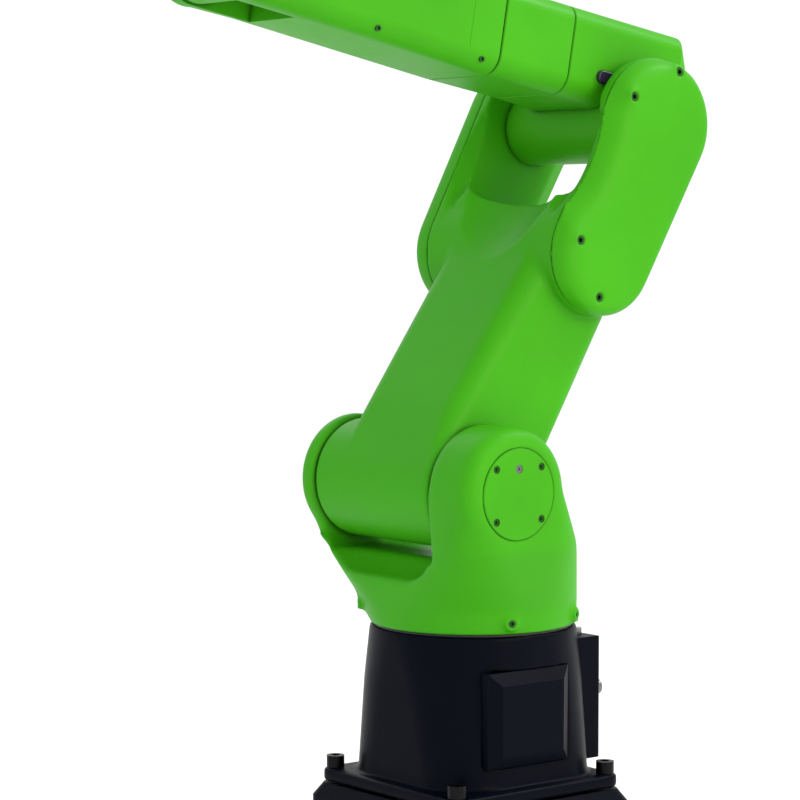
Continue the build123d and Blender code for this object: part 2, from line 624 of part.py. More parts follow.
def cover_shell(y_in, y_out, places):
    """One of the elbow's long round-ended covers, hollow on its inner side."""
    y0 = min(y_in, y_out)
    y1 = max(y_in, y_out)
    shell = obround(PRONG_R, y0, y1)
    face = shell.faces().sort_by(Axis.Y)[-1 if y_out > y_in else 0]
    shell = fillet(face.edges(), COVER_ROUND)
    inward = 1 if y_out > y_in else -1
    hollow_end = y_out - inward * COVER_WALL
    y2 = min(y_in - inward, hollow_end)
    y3 = max(y_in - inward, hollow_end)
    kept = block(HOLLOW_FRONT, 80, y2 - 1, y3 + 1, -PRONG_LENGTH - 20, 30)
    shell = shell - (obround(PRONG_R - COVER_RIM, y2, y3) - kept)
    boss_end = y_out - inward * 3
    for place in places:
        at = place.position
        shell = shell + cyl_y(BOSS_R, min(y_in, boss_end), max(y_in, boss_end), at.X, at.Z)
    return shell


COVER_SCREW = (4.4, 5.0, 2.5, COVER_NEAR - SEAM_NEAR - 7.0)


def elbow_belt_cover():
    shell = cover_shell(SEAM_NEAR, COVER_NEAR, BELT_PLACES) - Pos(0, 0, -ARM_LENGTH) * near_waist()
    return ELBOW * drill(shell, BELT_PLACES, COVER_SCREW, 4)


def elbow_far_cover():
    return ELBOW * drill(cover_shell(SEAM_FAR, COVER_FAR, FAR_PLACES), FAR_PLACES, COVER_SCREW, 4)


# ---------------------------------------------------------------- elbow casing (J3), level, J3 at the origin
FORE = Pos(J3_X, 0, J3_Z) * Rot(0, -FOREARM_PITCH, 0)
J4_CASE = 40.0
J4_SHAFT = 30.0
MOTOR_BAY = (-57.0, 48.0)
BAY_HALF = 38.0
WEB_HALF = 56.0
REAR_PLATE = (ELBOW_BACK, ELBOW_BACK + 6.0)
REAR_HALF_Y = 46.0
REAR_H = (24.0, 78.0)
PLUG = (44.0, 38.0)             # rubber plug on the elbow's near side: along, above J3
PLUG_HALF = 8.0                 # half the distance between its round ends
REAR_PLACES = [
    Pos(REAR_PLATE[0] + 1.0, y, h) * BACKWARD
    for y in (-REAR_HALF_Y + 7, REAR_HALF_Y - 7)
    for h in (REAR_H[0] + 7, REAR_H[1] - 7)
]
REAR_SCREW = (2.9, 2.5, 1.5, REAR_PLATE[1] - REAR_PLATE[0] - 1.0 - 2.5)


def inset(s, half_h, half_y, radii, back=SEAM_BREAK):
    """A section of the forearm drawn in a little all round, where a seam's edge is broken."""
    return across(s, *high_low(half_h - back), back - half_y, half_y - back, radii)


def high_low(half):
    return J4_H - half, J4_H + half


def across(s, h0, h1, y0, y1, radii):
    """A section across the forearm at s; radii: (top, -Y), (bottom, -Y), (bottom, +Y), (top, +Y)."""
    return FORWARD * section(s, -h1, -h0, y0, y1, radii)


def elbow_casing():
    back = across(ELBOW_BACK, 16, 84, -54, 54, (14, 14, 14, 14))
    mid = across(-53, 5, ELBOW_TOP, -ELBOW_HALF, ELBOW_HALF, (16, 20, 20, 16))
    front = across(J4_SEAM - SEAM_BREAK, *high_low(ROOT_HALF_H), -ELBOW_HALF, ELBOW_HALF, (18, 20, 20, 18))
    edge = inset(J4_SEAM, ROOT_HALF_H, ELBOW_HALF, (17, 19, 19, 17))
    body = skin(back, mid) + skin(mid, front) + skin(front, edge)
    hub = cyl_y(HUB_R, FORK_FAR + GAP, FORK_NEAR - GAP)
    web = block(-HUB_R, HUB_R, -WEB_HALF, WEB_HALF, 0, 30)
    body = body + hub + web
    body = body - block(REAR_PLATE[0] - 1, REAR_PLATE[1], -REAR_HALF_Y, REAR_HALF_Y, *REAR_H)
    door = (REAR_H[0] + 6, REAR_H[1] - 6)
    body = body - block(REAR_PLATE[1] - 1, MOTOR_BAY[0] + 2, -BAY_HALF, BAY_HALF, *door)
    body = body - block(*MOTOR_BAY, -BAY_HALF, BAY_HALF, J4_H - BAY_HALF, J4_H + BAY_HALF)
    body = body - cyl_x(J4_CASE, MOTOR_BAY[1] - 1, J4_SEAM + 1, 0, J4_H)
    body = body - cyl_y(PIVOT_R, 58, FORK_NEAR) + cyl_y(STUB_R, SEAM_FAR + 0.5, -60)
    body = body - plug_bar(5, 56, ELBOW_HALF + 6)
    return FORE * body


def plug_bar(r, y0, y1):
    """A bar with round ends along the forearm, centred on the rubber plug."""
    s, h = PLUG
    bar = block(s - PLUG_HALF, s + PLUG_HALF, y0, y1, h - r, h + r)
    return bar + cyl_y(r, y0, y1, s - PLUG_HALF, h) + cyl_y(r, y0, y1, s + PLUG_HALF, h)


def j3_output():
    return FORE * (cyl_y(PIVOT_R, 58, FORK_NEAR - GAP) + cyl_y(J3_BORE - RUN, FORK_NEAR - GAP, 85.4))


def elbow_bearing():
    ring = cyl_y(PIVOT_R, SEAM_FAR, FORK_FAR) - cyl_y(STUB_R + RUN, SEAM_FAR - 1, FORK_FAR + 1)
    return ELBOW * ring


def elbow_rear_cover():
    plate = block(*REAR_PLATE, -REAR_HALF_Y, REAR_HALF_Y, *REAR_H)
    plate = fillet(plate.faces().sort_by(Axis.X)[0].edges(), 1.5)
    return FORE * drill(plate, REAR_PLACES, REAR_SCREW, 2)


def elbow_plug():
    cap = plug_bar(6.5, ELBOW_HALF, ELBOW_HALF + 4)
    cap = fillet(cap.faces().sort_by(Axis.Y)[-1].edges(), 1.8)
    return FORE * (plug_bar(5, 56, ELBOW_HALF) + cap)


def j4_motor():
    length = MOTOR_BAY[1] - MOTOR_BAY[0] - 3
    return FORE * Pos(MOTOR_BAY[1], 0, J4_H) * FORWARD * motor(30, length, 37.5)


def j4_reducer():
    body = cyl_x(J4_CASE, MOTOR_BAY[1], J4_SEAM - 1, 0, J4_H)
    return FORE * (body - cyl_x(J4_SHAFT, MOTOR_BAY[1] + 14, J4_SEAM, 0, J4_H))


# ---------------------------------------------------------------- forearm (J4)
ROOT_S = J4_SEAM + GAP
J5_CASE = 30.0
J5_BORE = 20.0
SIDE_START = ROOT_END + 1.0
J5_BELT_Y = (FORE_HALF + 1.0, FORE_HALF + 6.0)
J5_MOTOR_S = 290.0
J5_PULLEY_R = 19.0
J5_DRIVE_R = 12.0
SIDE_SCREW_RISE = ((206.0, 34.0), (333.0, 32.0), (453.0, 29.0))
SIDE_SCREWS = [(s, J4_H + rise * side) for s, rise in SIDE_SCREW_RISE for side in (-1, 1)]


def side_half(s):
    """The covers' outer face narrows a little towards the wrist."""
    return 62.0 + (TIP_HALF - 62.0) * (s - SIDE_START) / (J5_S - SIDE_START)


NEAR_PLACES = [Pos(s, side_half(s) - 0.8, h) * NEAR_SIDE for s, h in SIDE_SCREWS]
AWAY_PLACES = [Pos(s, -side_half(s) + 0.8, h) * FAR_SIDE for s, h in SIDE_SCREWS]
LONG_SIDE_SCREW = (2.9, 3.0, 1.5, 14.0)


def forearm_outside():
    """The whole outer form of the forearm from its root to the wrist fork."""
    edge = inset(SIDE_START, ROOT_HALF_H, ELBOW_HALF, (17, 19, 19, 17))
    root = across(SIDE_START + SEAM_BREAK, *high_low(ROOT_HALF_H), -ELBOW_HALF, ELBOW_HALF, (18, 20, 20, 18))
    front = across(FORE_FRONT, *high_low(FRONT_HALF_H), -58, 58, (16, 18, 18, 16))
    tip = across(J5_S, *high_low(TIP_R), -TIP_HALF, TIP_HALF, (12, 12, 12, 12))
    end = round_edge(cyl_y(TIP_R, -TIP_HALF, TIP_HALF, J5_S, J4_H), Axis.Y, True, 8)
    end = round_edge(end, Axis.Y, False, 8)
    return skin(edge, root) + skin(root, front) + skin(front, tip) + end


def forearm_root():
    edge = inset(ROOT_S, ROOT_HALF_H, ELBOW_HALF, (17, 19, 19, 17))
    back = across(ROOT_S + SEAM_BREAK, *high_low(ROOT_HALF_H), -ELBOW_HALF, ELBOW_HALF, (18, 20, 20, 18))
    front = across(ROOT_END - SEAM_BREAK, *high_low(ROOT_HALF_H), -ELBOW_HALF, ELBOW_HALF, (18, 20, 20, 18))
    end = inset(ROOT_END, ROOT_HALF_H, ELBOW_HALF, (17, 19, 19, 17))
    body = skin(edge, back) + skin(back, front) + skin(front, end)
    body = body - cyl_x(36, ROOT_S + 12, ROOT_END + 1, 0, J4_H)
    return FORE * (body - cyl_x(20, ROOT_S - 1, ROOT_S + 13, 0, J4_H))


def j4_output():
    s = MOTOR_BAY[1] + 14 + GAP
    body = cyl_x(J4_SHAFT - RUN, s, ROOT_S, 0, J4_H) + cyl_x(20, ROOT_S, ROOT_S + 12, 0, J4_H)
    return FORE * (body - cyl_x(12, s - 1, ROOT_S + 13, 0, J4_H))


def forearm_casting():
    body = forearm_outside() & block(SIDE_START, J5_S + 60, -FORE_HALF, FORE_HALF, -10, 120)
    lip = across(ROOT_END, *high_low(ROOT_HALF_H - 3), -FORE_HALF, FORE_HALF, (14, 16, 16, 14))
    lip_end = across(SIDE_START, *high_low(ROOT_HALF_H - 3), -FORE_HALF, FORE_HALF, (14, 16, 16, 14))
    body = body + skin(lip, lip_end)
    body = body - block(SLOT_S, J5_S + 60, -SLOT_HALF, SLOT_HALF, -10, 120)
    body = body - cyl_x(34, ROOT_END - 1, 236, 0, J4_H)
    body = body - block(236, 330, -40, FORE_HALF + 1, J4_H - 28, J4_H + 28)
    body = body - cyl_y(J5_CASE, SLOT_HALF - 1, FORE_HALF + 1, J5_S, J4_H)
    body = body - cyl_y(J5_CASE, -FORE_HALF - 1, -SLOT_HALF + 1, J5_S, J4_H)
    body = drill(body, NEAR_PLACES, LONG_SIDE_SCREW, 9)
    return FORE * drill(body, AWAY_PLACES, LONG_SIDE_SCREW, 9)


def side_cover(side, places):
    body = forearm_outside() & block(SIDE_START, J5_S + 60, FORE_HALF, 64, -10, 120)
    if side < 0:
        body = body.mirror(Plane.XZ)
    y0 = side * (FORE_HALF - 1)
    y1 = side * (FORE_HALF + 5)
    if side > 0:
        y1 = side * (FORE_HALF + 6.4)
    body = body - block(262, J5_S, min(y0, y1), max(y0, y1), J4_H - 24, J4_H + 24)
    body = body - cyl_y(26, min(y0, y1), max(y0, y1), J5_S, J4_H)
    return drill(body, places, LONG_SIDE_SCREW, 6)


def near_side_cover():
    body = side_cover(1, NEAR_PLACES)
    crease = block(224, 440, 61.2, 66, J4_H - 26, J4_H + 26)
    return FORE * (body - crease)


def far_side_cover():
    return FORE * side_cover(-1, AWAY_PLACES)


def j5_motor():
    can = block(J5_MOTOR_S - 26, J5_MOTOR_S + 26, -32, FORE_HALF - 6, J4_H - 26, J4_H + 26)
    can = fillet(can.edges().filter_by(Axis.Y), 4)
    plate = block(J5_MOTOR_S - 28, J5_MOTOR_S + 28, FORE_HALF - 6, FORE_HALF, J4_H - 28, J4_H + 28)
    cap = cyl_y(22, -40, -32, J5_MOTOR_S, J4_H)
    return FORE * (can + plate + cap)


def j5_motor_pulley():
    return FORE * Pos(J5_MOTOR_S, 0, J4_H) * pulley(J5_DRIVE_R, *J5_BELT_Y, 16)


def j5_wrist_pulley():
    return FORE * Pos(J5_S, 0, J4_H) * pulley(J5_PULLEY_R, *J5_BELT_Y, 26)


def j5_belt():
    loop = belt(J5_PULLEY_R, J5_DRIVE_R, J5_S - J5_MOTOR_S, J5_BELT_Y[0] + 1.3, J5_BELT_Y[1] - 1.3)
    return FORE * Pos(J5_S, 0, J4_H) * Rot(0, 180, 0) * loop


def j5_reducer():
    body = cyl_y(J5_CASE, SLOT_HALF, FORE_HALF, J5_S, J4_H)
    return FORE * (body - cyl_y(J5_BORE, SLOT_HALF - 1, FORE_HALF - 3, J5_S, J4_H))


def wrist_bearing():
    body = cyl_y(J5_CASE, -FORE_HALF, -SLOT_HALF, J5_S, J4_H)
    return FORE * (body - cyl_y(14 + RUN, -FORE_HALF - 1, -SLOT_HALF + 1, J5_S, J4_H))


# ---------------------------------------------------------------- wrist (J5) and tool flange (J6)
J6_BAY = (462.0, 506.0)
J6_CASE = 27.0
J6_BORE = 16.0
FLANGE_R = 31.5
FLANGE_T = 12.0
FLANGE_PCD = 40.0
FLANGE_BORE_R = 10.0
FLANGE_HOLE_R = 2.5
WRIST_HALF = SLOT_HALF - GAP


def wrist_housing():
    drum = cyl_y(TIP_R - 2, -WRIST_HALF, WRIST_HALF, J5_S, J4_H)
    drum = round_edge(round_edge(drum, Axis.Y, True, 3), Axis.Y, False, 3)
    nose = cyl_x(NOSE_HALF, J5_S, NOSE_END, 0, J4_H)
    nose = fillet(nose.edges().filter_by(GeomType.CIRCLE).sort_by(Axis.X)[-1], 3)
    body = drum + nose
    body = body - cyl_x(J6_CASE, J6_BAY[0], NOSE_END + 1, 0, J4_H)
    body = body - cyl_y(18, 28, SLOT_HALF, J5_S, J4_H)
    body = body + cyl_y(14, -FORE_HALF + 0.5, -28, J5_S, J4_H)
    return FORE * body


def j5_output():
    hub = cyl_y(18, 28, WRIST_HALF, J5_S, J4_H)
    shaft = cyl_y(J5_BORE - RUN, WRIST_HALF, FORE_HALF - 3 - GAP, J5_S, J4_H)
    return FORE * (hub + shaft)


def j6_motor():
    body = cyl_x(J6_CASE, 496, J6_BAY[1], 0, J4_H) + cyl_x(24, 470, 496, 0, J4_H)
    return FORE * (body + cyl_x(19, J6_BAY[0], 470, 0, J4_H))


def j6_reducer():
    body = cyl_x(J6_CASE, J6_BAY[1], NOSE_END - 2, 0, J4_H)
    return FORE * (body - cyl_x(J6_BORE, J6_BAY[1] + 10, NOSE_END, 0, J4_H))


def tool_flange():
    face = FLANGE_S
    body = cyl_x(FLANGE_R, face - FLANGE_T, face, 0, J4_H)
    body = round_edge(body, Axis.X, True, 1)
    body = body + cyl_x(J6_BORE - RUN, J6_BAY[1] + 10 + GAP, face - FLANGE_T, 0, J4_H)
    body = body + cyl_x(NOSE_HALF - 6, NOSE_END + GAP, face - FLANGE_T, 0, J4_H)
    body = body - cyl_x(FLANGE_BORE_R, face - 6, face + 1, 0, J4_H)
    for n in range(4):
        a = math.radians(45 + 90 * n)
        y = FLANGE_PCD / 2 * math.cos(a)
        h = J4_H + FLANGE_PCD / 2 * math.sin(a)
        body = body - cyl_x(FLANGE_HOLE_R, face - 10, face + 1, y, h)
    return FORE * (body - cyl_x(3, face - 6, face + 1, 0, J4_H + 20))


# ---------------------------------------------------------------- every piece by name
PARTS = {
    "mounting_plate": mounting_plate,
    "sensor_housing": sensor_housing,
    "load_cell": load_cell,
    "base_casting": base_casting,
    "base_side_panel": side_panel,
    "connector_box": connector_box,
    "power_connector": power_connector,
    "signal_connectors": signal_connectors,
    "air_ports": air_ports,
    "ground_bolt": ground_bolt,
    "j1_motor": j1_motor,
    "j1_reducer": j1_reducer,
    "j1_seal": j1_seal,
    "foot_bolts": lambda: each(FOOT_PLACES, screw(M12)),
    "side_panel_screws": lambda: each(PANEL_PLACES, screw(PANEL_SCREW)),
    "turret_casting": turret_casting,
    "j1_output": j1_output,
    "j2_motor": j2_motor,
    "j2_reducer": j2_reducer,
    "j2_end_cover": j2_end_cover,
    "shoulder_cover_screws": lambda: each(J2_COVER_PLACES + CAP_PLACES, screw(J2_COVER_SCREW)),
    "j2_grease_plug": j2_grease_plug,
    "j2_pivot_bearing": j2_pivot_bearing,
    "far_pivot_cap": far_pivot_cap,
    "turret_lug_screws": lambda: each(LUG_HOLES, screw(M4)),
    "upper_arm_casting": upper_arm_casting,
    "j2_output": j2_output,
    "j3_motor": j3_motor,
    "j3_reducer": j3_reducer,
    "j3_belt": j3_belt,
    "elbow_bearing": elbow_bearing,
    "elbow_belt_cover": elbow_belt_cover,
    "elbow_far_cover": elbow_far_cover,
    "elbow_cover_screws": lambda: [ELBOW * s for s in each(BELT_PLACES + FAR_PLACES, screw(COVER_SCREW))],
    "j3_motor_pulley": j3_motor_pulley,
    "j3_reducer_pulley": j3_reducer_pulley,
    "elbow_casing": elbow_casing,
    "j3_output": j3_output,
    "j4_motor": j4_motor,
    "j4_reducer": j4_reducer,
    "elbow_rear_cover": elbow_rear_cover,
    "rear_cover_screws": lambda: [FORE * s for s in each(REAR_PLACES, screw(REAR_SCREW))],
    "elbow_plug": elbow_plug,
    "forearm_root": forearm_root,
    "j4_output": j4_output,
    "forearm_casting": forearm_casting,
    "near_side_cover": near_side_cover,
    "far_side_cover": far_side_cover,
    "side_cover_screws": lambda: [FORE * s for s in each(NEAR_PLACES + AWAY_PLACES, screw(LONG_SIDE_SCREW))],
    "j5_motor": j5_motor,
    "j5_belt": j5_belt,
    "j5_reducer": j5_reducer,
    "j5_motor_pulley": j5_motor_pulley,
    "j5_wrist_pulley": j5_wrist_pulley,
    "wrist_bearing": wrist_bearing,
    "wrist_housing": wrist_housing,
    "j5_output": j5_output,
    "j6_motor": j6_motor,
    "j6_reducer": j6_reducer,
    "tool_flange": tool_flange,
}


def main():
    os.makedirs("parts", exist_ok=True)
    for name, build in PARTS.items():
        shape = build()
        if isinstance(shape, list):
            shape = Compound(children=shape)
        export_step(shape, f"parts/{name}.step")


main()
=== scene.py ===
"""Looks of the six-axis desktop robot arm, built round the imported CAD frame. Metres, +Z up.

The painted castings are copied from the frame and their edges are blended, as in a sand casting
with thick paint. Every other piece keeps its CAD mesh and gets a procedural material.
"""
import json
import math

import bpy
import numpy as np
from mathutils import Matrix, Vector
from mathutils.bvhtree import BVHTree

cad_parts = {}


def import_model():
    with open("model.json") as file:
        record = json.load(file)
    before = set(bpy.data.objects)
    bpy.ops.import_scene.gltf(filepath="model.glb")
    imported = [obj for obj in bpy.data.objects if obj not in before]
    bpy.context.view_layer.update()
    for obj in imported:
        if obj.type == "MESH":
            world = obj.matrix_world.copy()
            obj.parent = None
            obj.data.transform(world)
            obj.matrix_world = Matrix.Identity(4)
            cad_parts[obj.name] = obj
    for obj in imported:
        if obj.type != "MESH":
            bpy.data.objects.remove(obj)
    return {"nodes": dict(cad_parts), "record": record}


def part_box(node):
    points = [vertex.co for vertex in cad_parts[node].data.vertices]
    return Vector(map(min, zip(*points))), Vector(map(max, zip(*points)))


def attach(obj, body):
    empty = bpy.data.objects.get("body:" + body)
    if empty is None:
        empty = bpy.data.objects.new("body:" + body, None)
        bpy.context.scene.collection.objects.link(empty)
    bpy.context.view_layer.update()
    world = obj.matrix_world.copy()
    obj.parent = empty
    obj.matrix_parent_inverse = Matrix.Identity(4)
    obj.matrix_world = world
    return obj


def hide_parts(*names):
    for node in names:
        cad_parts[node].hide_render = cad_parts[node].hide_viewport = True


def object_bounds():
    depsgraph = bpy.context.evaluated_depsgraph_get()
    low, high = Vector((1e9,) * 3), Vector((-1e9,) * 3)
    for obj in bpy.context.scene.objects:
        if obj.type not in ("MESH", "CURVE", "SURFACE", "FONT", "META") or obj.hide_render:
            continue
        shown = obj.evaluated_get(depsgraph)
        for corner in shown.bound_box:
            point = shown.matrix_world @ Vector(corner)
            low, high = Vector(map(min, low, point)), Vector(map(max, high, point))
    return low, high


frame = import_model()
cad_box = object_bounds()
nodes = frame["nodes"]
record = frame["record"]

# ---------------------------------------------------------------- camera
AIM = Vector((0.0542, -0.0490, 0.4775))
CAMERA_DISTANCE = 2.683
CAMERA_AZIMUTH = 51.56
CAMERA_ELEVATION = 3.67
LENS_MM = 120.9
SENSOR_MM = 36.0
FAR_CLIP = 50.0


def toward(azimuth, elevation):
    """The unit direction from the object towards these angles in degrees; azimuth 0 is +X."""
    a = math.radians(azimuth)
    e = math.radians(elevation)
    return Vector((math.cos(e) * math.cos(a), math.cos(e) * math.sin(a), math.sin(e)))


def link(obj):
    bpy.context.scene.collection.objects.link(obj)
    return obj


def place(obj, azimuth, elevation, distance):
    """Stand obj off the aim point at these angles, looking back at it."""
    out = toward(azimuth, elevation)
    obj.location = AIM + out * distance
    obj.rotation_euler = (-out).to_track_quat("-Z", "Y").to_euler()


def add_camera():
    data = bpy.data.cameras.new("camera")
    data.sensor_width = SENSOR_MM
    data.lens = LENS_MM
    data.clip_end = FAR_CLIP
    camera = link(bpy.data.objects.new("camera", data))
    place(camera, CAMERA_AZIMUTH, CAMERA_ELEVATION, CAMERA_DISTANCE)
    bpy.context.scene.camera = camera


# ---------------------------------------------------------------- material tools
BEVEL_SAMPLES = 4
SHADE_SAMPLES = 6
MIX_A, MIX_B, MIX_RESULT = 6, 7, 2  # the colour sockets of the Mix node
EDGE_TURNED = 0.86  # cosine between the true and the bevelled normal on a full edge
EDGE_FLAT = 0.995  # and where the surface counts as flat
# Where the painted shade in recesses starts and where it ends
CAVITY_CLOSED = 0.30  # open share of the view from inside a full recess
CAVITY_OPEN = 0.86  # and where a recess no longer shows


class Graph:
    """A material's node tree, with short calls for the nodes that the finishes share."""

    def __init__(self, name):
        self.material = bpy.data.materials.new(name)
        self.material.use_nodes = True
        self.tree = self.material.node_tree
        self.shader = self.tree.nodes["Principled BSDF"]
        self.place = self.node("ShaderNodeTexCoord").outputs["Object"]

    def node(self, kind, **settings):
        made = self.tree.nodes.new(kind)
        for name, value in settings.items():
            setattr(made, name, value)
        return made

    def join(self, source, target):
        self.tree.links.new(source, target)

    def noise(self, scale, detail=3.0, rough=0.5, stretch=None):
        """Noise over the surface; scale counts its blobs in a metre."""
        texture = self.node("ShaderNodeTexNoise")
        texture.inputs["Scale"].default_value = scale
        texture.inputs["Detail"].default_value = detail
        texture.inputs["Roughness"].default_value = rough
        where = self.place
        if stretch:
            mapping = self.node("ShaderNodeMapping")
            mapping.inputs["Scale"].default_value = stretch
            self.join(where, mapping.inputs["Vector"])
            where = mapping.outputs["Vector"]
        self.join(where, texture.inputs["Vector"])
        return texture.outputs["Fac"]

    def span(self, source, low, high, start=0.3, end=0.7):
        """source from start to end, turned into low to high."""
        ramp = self.node("ShaderNodeMapRange")
        ramp.inputs["From Min"].default_value = start
        ramp.inputs["From Max"].default_value = end
        ramp.inputs["To Min"].default_value = low
        ramp.inputs["To Max"].default_value = high
        self.join(source, ramp.inputs["Value"])
        return ramp.outputs["Result"]

    def math(self, operation, a, b):
        """a and b are each a socket or a number."""
        made = self.node("ShaderNodeMath", operation=operation)
        for socket, value in zip(made.inputs, (a, b)):
            if isinstance(value, (int, float)):
                socket.default_value = value
            else:
                self.join(value, socket)
        return made.outputs["Value"]

    def blend(self, factor, a, b):
        """Colour a where factor is 0 and colour b where it is 1; each is a socket or an RGB triple."""
        mix = self.node("ShaderNodeMix", data_type="RGBA")
        self.join(factor, mix.inputs["Factor"])
        for socket, value in ((mix.inputs[MIX_A], a), (mix.inputs[MIX_B], b)):
            if isinstance(value, tuple):
                socket.default_value = (*value, 1.0)
            else:
                self.join(value, socket)
        return mix.outputs[MIX_RESULT]

    def edges(self, radius):
        """1 on edges that turn within radius, 0 on flat stretches."""
        bevel = self.node("ShaderNodeBevel", samples=BEVEL_SAMPLES)
        bevel.inputs["Radius"].default_value = radius
        normal = self.node("ShaderNodeNewGeometry").outputs["Normal"]
        dot = self.node("ShaderNodeVectorMath", operation="DOT_PRODUCT")
        self.join(bevel.outputs["Normal"], dot.inputs[0])
        self.join(normal, dot.inputs[1])
        return self.span(dot.outputs["Value"], 1.0, 0.0, EDGE_TURNED, EDGE_FLAT)

    def painted_recess_shade(self, reach):
        """1 in recesses narrower than reach, where painted shade darkens the colour, 0 in the open."""
        shade = self.node("ShaderNodeAmbientOcclusion", samples=SHADE_SAMPLES)
        shade.inputs["Distance"].default_value = reach
        return self.span(shade.outputs["AO"], 1.0, 0.0, CAVITY_CLOSED, CAVITY_OPEN)

    def bump(self, parts):
        """Chained bumps from (height socket, strength, distance in metres)."""
        last = None
        for height, strength, distance in parts:
            made = self.node("ShaderNodeBump")
            made.inputs["Strength"].default_value = strength
            made.inputs["Distance"].default_value = distance
            self.join(height, made.inputs["Height"])
            if last:
                self.join(last, made.inputs["Normal"])
            last = made.outputs["Normal"]
        self.join(last, self.shader.inputs["Normal"])

    def color(self, socket):
        self.join(socket, self.shader.inputs["Base Color"])

    def rough(self, socket):
        self.join(socket, self.shader.inputs["Roughness"])

    def shine(self, specular=None, metallic=None):
        """Values that are the same all over the surface, set on the shader itself."""
        if specular is not None:
            self.shader.inputs["Specular IOR Level"].default_value = specular
        if metallic is not None:
            self.shader.inputs["Metallic"].default_value = metallic


def scaled(rgb, gain):
    return tuple(min(1.0, c * gain) for c in rgb)


# ---------------------------------------------------------------- finishes
# Linear RGB.
ARM_GREEN = (0.040, 0.315, 0.004)
SCREW_GREEN = (0.006, 0.070, 0.004)
BASE_BLACK = (0.0012, 0.0022, 0.0060)
BOLT_BLACK = (0.012, 0.012, 0.014)
STEEL = (0.20, 0.20, 0.22)
GEAR_GREY = (0.26, 0.27, 0.29)
MOTOR_BLACK = (0.020, 0.020, 0.022)
CONNECTOR_BLACK = (0.016, 0.016, 0.018)
PULLEY_GREY = (0.58, 0.58, 0.60)
BELT_BLACK = (0.012, 0.012, 0.012)
SEAL_VIOLET = (0.016, 0.010, 0.030)

# Noise scales are in blobs per metre, bump depths and edge bands in metres. GAINS multiply the
# colour, a SPAN is the stretch of the noise that is used, and ROUGH values are added to roughness.
PAINT_PATCH_GAINS = (0.93, 1.07)
PAINT_PATCH_SPAN = (0.32, 0.68)
SPECKS = 1400.0
SPECK_SPAN = (0.60, 0.74)
SPECK_GAIN = 0.86
SPECK_ROUGH = 0.10
PAINT_EDGE = 0.0016
CHIPS = 120.0
CHIP_SPAN = (0.40, 0.60)
CHIP_LEAST = 0.15
WEAR_KEEP = 0.95  # the share of the paint's own colour left on a worn edge
# Painted shade: the paint's colour darkens in recesses narrower than this reach, as if shade fell
# there.
RECESS_SHADE_REACH = 0.008
RECESS_SHADE_GAIN = 0.16  # how much of the colour a full recess keeps under the painted shade
SMEARS = 14.0
SMEAR_SPAN = (0.34, 0.66)
SMEAR_ROUGH = (-0.045, 0.055)
PEEL = 520.0
PEEL_DEPTH = 0.00022
FINE_PEEL = 1900.0
FINE_PEEL_DEPTH = 0.00010
FINE_PEEL_SHARE = 0.6


def paint(name, rgb, roughness, patches, wear, peel, gloss=0.42, wear_grey=0.025):
    """Sprayed paint: faint patches, orange peel, dust specks, edges rubbed lighter, and painted shade
    that darkens the recesses.
    """
    g = Graph(name)
    dark, pale = PAINT_PATCH_GAINS
    patch = g.span(g.noise(patches, detail=4.0), 0.0, 1.0, *PAINT_PATCH_SPAN)
    body = g.blend(patch, scaled(rgb, dark), scaled(rgb, pale))
    speck = g.span(g.noise(SPECKS, detail=2.0), 0.0, 1.0, *SPECK_SPAN)
    body = g.blend(speck, body, scaled(rgb, SPECK_GAIN))
    chips = g.span(g.noise(CHIPS, detail=5.0, rough=0.6), CHIP_LEAST, 1.0, *CHIP_SPAN)
    broken = g.math("MULTIPLY", g.edges(PAINT_EDGE), chips)
    worn = tuple(WEAR_KEEP * c + wear_grey for c in rgb)
    body = g.blend(g.math("MULTIPLY", broken, wear), body, worn)
    # Painted shade: seams, recesses and screw wells get a darker colour, as if shade fell in them.
    g.color(g.blend(g.painted_recess_shade(RECESS_SHADE_REACH), body, scaled(rgb, RECESS_SHADE_GAIN)))
    sleek, dull = SMEAR_ROUGH
    smear = g.span(g.noise(SMEARS, detail=5.0, rough=0.6), roughness + sleek, roughness + dull,
                   *SMEAR_SPAN)
    g.rough(g.math("ADD", smear, g.math("MULTIPLY", speck, SPECK_ROUGH)))
    g.bump([(g.noise(PEEL, detail=2.0), peel, PEEL_DEPTH),
            (g.noise(FINE_PEEL, detail=2.0), peel * FINE_PEEL_SHARE, FINE_PEEL_DEPTH)])
    g.shine(specular=gloss)
    return g.material


METAL_EDGE = 0.0012
METAL_WEAR = 0.6
METAL_WORN_GAIN = 1.35
BRUSHED = 260.0
BRUSH_GAINS = (0.80, 1.14)
BRUSH_SPAN = (0.35, 0.65)
BRUSH_ROUGH = 0.04
BRUSH_DEPTH = 0.00012
TARNISH = 22.0
TARNISH_ROUGH = 0.07


def metal(name, rgb, roughness, stretch, scratches):
    """Turned or brushed metal: fine lines along one way, with cleaner and duller patches."""
    g = Graph(name)
    dark, pale = BRUSH_GAINS
    lines = g.noise(BRUSHED, detail=6.0, rough=0.7, stretch=stretch)
    body = g.blend(g.span(lines, 0.0, 1.0, *BRUSH_SPAN), scaled(rgb, dark), scaled(rgb, pale))
    edge = g.math("MULTIPLY", g.edges(METAL_EDGE), METAL_WEAR)
    g.color(g.blend(edge, body, scaled(rgb, METAL_WORN_GAIN)))
    dull = g.span(g.noise(TARNISH, detail=4.0), roughness - TARNISH_ROUGH, roughness + TARNISH_ROUGH)
    g.rough(g.math("ADD", dull, g.span(lines, -BRUSH_ROUGH, BRUSH_ROUGH)))
    g.bump([(lines, scratches, BRUSH_DEPTH)])
    g.shine(metallic=1.0)
    return g.material


